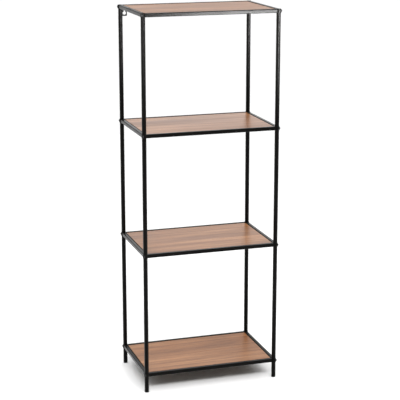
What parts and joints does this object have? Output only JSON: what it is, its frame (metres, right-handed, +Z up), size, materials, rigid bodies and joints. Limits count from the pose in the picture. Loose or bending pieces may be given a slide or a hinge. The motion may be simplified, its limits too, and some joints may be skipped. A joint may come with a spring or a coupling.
{
  "type": "open shelf bookcase",
  "caption": "Tall, narrow open bookcase: black round steel posts, slim square-tube shelf frames on sleeves with locking screws, and wood-effect shelf boards.",
  "frame": {"origin": "on the floor at the middle of the footprint", "axes": "+Z up along the posts, front (long open side) towards -Y, +X to the right seen from the front"},
  "size_m": [0.487, 0.313, 1.3],
  "materials": {
    "black_steel": "satin black powder coat",
    "black_screw": "black oxide button head",
    "black_plastic": "moulded matte black",
    "wood_board": "satin walnut-effect laminate"
  },
  "bodies": {
    "rack": {"post_front_left": "black_steel", "post_front_right": "black_steel", "post_back_left": "black_steel", "post_back_right": "black_steel", "foot_front_left": "black_plastic", "foot_front_right": "black_plastic", "foot_back_left": "black_plastic", "foot_back_right": "black_plastic", "post_cap_front_left": "black_plastic", "post_cap_front_right": "black_plastic", "post_cap_back_left": "black_plastic", "post_cap_back_right": "black_plastic", "bottom_front_rail": "black_steel", "bottom_back_rail": "black_steel", "bottom_left_end": "black_steel", "bottom_right_end": "black_steel", "bottom_screw_front_left": "black_screw", "bottom_screw_front_right": "black_screw", "bottom_screw_back_left": "black_screw", "bottom_screw_back_right": "black_screw", "top_front_rail": "black_steel", "top_back_rail": "black_steel", "top_left_end": "black_steel", "top_right_end": "black_steel", "top_screw_front_left": "black_screw", "top_screw_front_right": "black_screw", "top_screw_back_left": "black_screw", "top_screw_back_right": "black_screw", "wall_bracket_left": "black_steel", "wall_bracket_right": "black_steel"},
    "lower_shelf": {"lower_front_rail": "black_steel", "lower_back_rail": "black_steel", "lower_left_end": "black_steel", "lower_right_end": "black_steel", "lower_screw_front_left": "black_screw", "lower_screw_front_right": "black_screw", "lower_screw_back_left": "black_screw", "lower_screw_back_right": "black_screw"},
    "upper_shelf": {"upper_front_rail": "black_steel", "upper_back_rail": "black_steel", "upper_left_end": "black_steel", "upper_right_end": "black_steel", "upper_screw_front_left": "black_screw", "upper_screw_front_right": "black_screw", "upper_screw_back_left": "black_screw", "upper_screw_back_right": "black_screw"},
    "bottom_shelf_board": {"bottom_board": "wood_board"},
    "lower_shelf_board": {"lower_board": "wood_board"},
    "upper_shelf_board": {"upper_board": "wood_board"},
    "top_shelf_board": {"top_board": "wood_board"}
  },
  "joints": [
    {"name": "lower_shelf_slide", "type": "slide", "parent": "rack", "child": "lower_shelf", "axis": [0, 0, 1], "range_m": [-0.36, 0.345]},
    {"name": "upper_shelf_slide", "type": "slide", "parent": "rack", "child": "upper_shelf", "axis": [0, 0, 1], "range_m": [-0.345, 0.33]},
    {"name": "bottom_board_lift", "type": "slide", "parent": "rack", "child": "bottom_shelf_board", "axis": [0, 0, 1], "range_m": [0, 0.045]},
    {"name": "lower_board_lift", "type": "slide", "parent": "lower_shelf", "child": "lower_shelf_board", "axis": [0, 0, 1], "range_m": [0, 0.045]},
    {"name": "upper_board_lift", "type": "slide", "parent": "upper_shelf", "child": "upper_shelf_board", "axis": [0, 0, 1], "range_m": [0, 0.045]},
    {"name": "top_board_lift", "type": "slide", "parent": "rack", "child": "top_shelf_board", "axis": [0, 0, 1], "range_m": [0, 0.045]}
  ]
}
